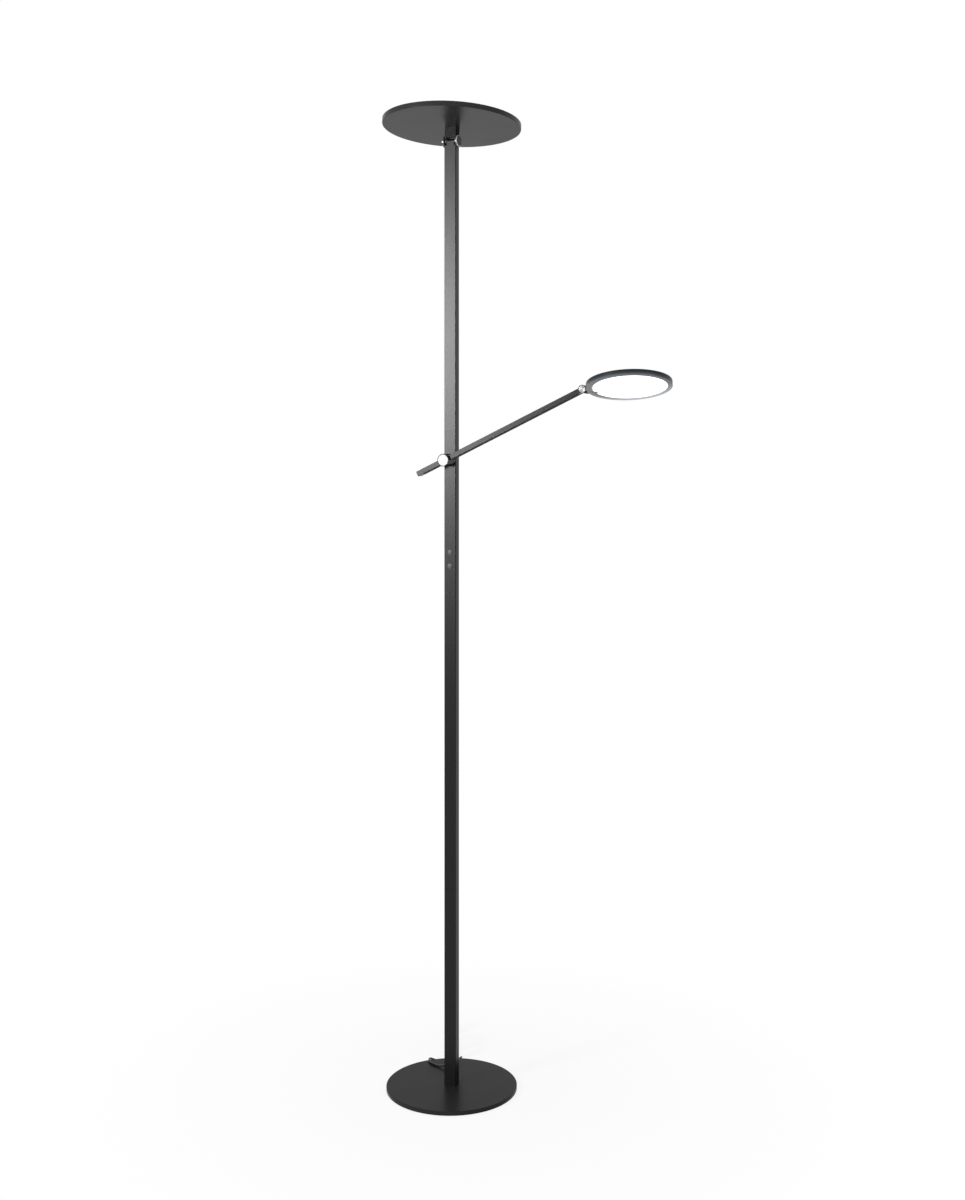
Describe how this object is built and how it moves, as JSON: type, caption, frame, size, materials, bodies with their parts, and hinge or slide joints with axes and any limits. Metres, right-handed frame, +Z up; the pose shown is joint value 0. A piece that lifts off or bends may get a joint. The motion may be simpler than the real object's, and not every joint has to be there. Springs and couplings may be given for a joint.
{
  "type": "uplighter floor lamp",
  "caption": "Slim floor lamp: round base, rectangular pole with dimmer buttons, a tilting disc uplighter and a hinged arm with a swivelling disc reading light.",
  "frame": {"origin": "on the floor, on the axis of the pole", "axes": "+Z up along the pole; -Y is the front, where the dimmer buttons are; +X is the side that the reading arm points to"},
  "size_m": [0.5999, 0.4208, 1.8888],
  "materials": {
    "dark_coat": "satin dark metallic coat",
    "base_coat": "satin dark metallic coat on heavy plate",
    "plated_steel": "plain zinc plating",
    "chrome": "polished",
    "spun_steel": "turned face",
    "button_grey": "satin grey",
    "black_plastic": "satin black",
    "cord_black": "smooth flexible sheath",
    "pad_rubber": "matt foam",
    "diffuser_white": "opal",
    "guide_clear": "clear, polished edges",
    "sheet_white": "matt white",
    "led_board": "white board with yellow emitters",
    "board_green": "solder mask",
    "nylon": "natural",
    "driver_case": "plain",
    "ring_grey": "satin light grey"
  },
  "bodies": {
    "stand": {"base_plate": "base_coat", "base_pad": "pad_rubber", "foot_plug": "plated_steel", "base_bolt": "plated_steel", "base_washer": "plated_steel", "pole_foot": "dark_coat", "pole_lower": "dark_coat", "pole_upper": "dark_coat", "pole_top": "dark_coat", "joint_sleeves": "plated_steel", "led_driver": "driver_case", "supply_wire": "cord_black", "pole_wire": "cord_black", "switch_board": "board_green", "board_carrier": "nylon", "hinge_tongue": "dark_coat", "hinge_washers": "nylon", "pivot_boss": "dark_coat", "pivot_plate": "plated_steel", "pivot_spindle": "plated_steel", "friction_washer": "nylon", "spring_washer": "plated_steel", "pivot_nut": "plated_steel", "cord_relief": "black_plastic", "cord_lead": "cord_black", "cord_hank": "cord_black", "cord_tie": "black_plastic", "mains_plug": "black_plastic"},
    "upper_button": {"button_upper": "button_grey"},
    "lower_button": {"button_lower": "button_grey"},
    "uplight_head": {"hinge_fork": "dark_coat", "hinge_pin": "plated_steel", "hinge_nut": "plated_steel", "hinge_caps": "chrome", "uplight_pan": "dark_coat", "uplight_screws": "plated_steel", "uplight_reflector": "sheet_white", "uplight_led_strip": "led_board", "uplight_guide": "guide_clear", "uplight_diffuser": "diffuser_white", "uplight_ring": "dark_coat"},
    "reading_arm": {"arm_barrel": "dark_coat", "pivot_cap": "chrome", "arm_stub": "dark_coat", "arm_end_cap": "dark_coat", "arm_tube": "dark_coat", "arm_wire": "cord_black", "arm_fork": "dark_coat", "knuckle_pin": "spun_steel", "knuckle_nut": "plated_steel"},
    "knuckle": {"knuckle_tongue": "black_plastic", "swivel_pin": "plated_steel", "swivel_clip": "plated_steel"},
    "reading_head": {"reading_pan": "dark_coat", "reading_reflector": "sheet_white", "reading_led_strip": "led_board", "reading_guide": "guide_clear", "reading_diffuser": "diffuser_white", "reading_ring": "ring_grey"}
  },
  "joints": [
    {"name": "uplight_tilt", "type": "hinge", "parent": "stand", "child": "uplight_head", "pos_m": [0, 0, 1.8377], "axis": [1, 0, 0], "range_deg": [-69, 81]},
    {"name": "arm_tilt", "type": "hinge", "parent": "stand", "child": "reading_arm", "pos_m": [0, -0.0245, 1.2196], "axis": [0, -1, 0], "range_deg": [-70, 35]},
    {"name": "head_tilt", "type": "hinge", "parent": "reading_arm", "child": "knuckle", "pos_m": [0.28595, -0.0245, 1.35173], "axis": [0, -1, 0], "range_deg": [-55, 60]},
    {"name": "head_roll", "type": "hinge", "parent": "knuckle", "child": "reading_head", "pos_m": [0.28659, -0.0245, 1.34677], "axis": [0.9917, 0, 0.1288], "range_deg": [-61, 88]},
    {"name": "upper_button_press", "type": "slide", "parent": "stand", "child": "upper_button", "axis": [0, 1, 0], "range_m": [0, 0.0008], "stiffness_N_per_m": 1500, "springref_m": -0.0004},
    {"name": "lower_button_press", "type": "slide", "parent": "stand", "child": "lower_button", "axis": [0, 1, 0], "range_m": [0, 0.0008], "stiffness_N_per_m": 1500, "springref_m": -0.0004}
  ]
}
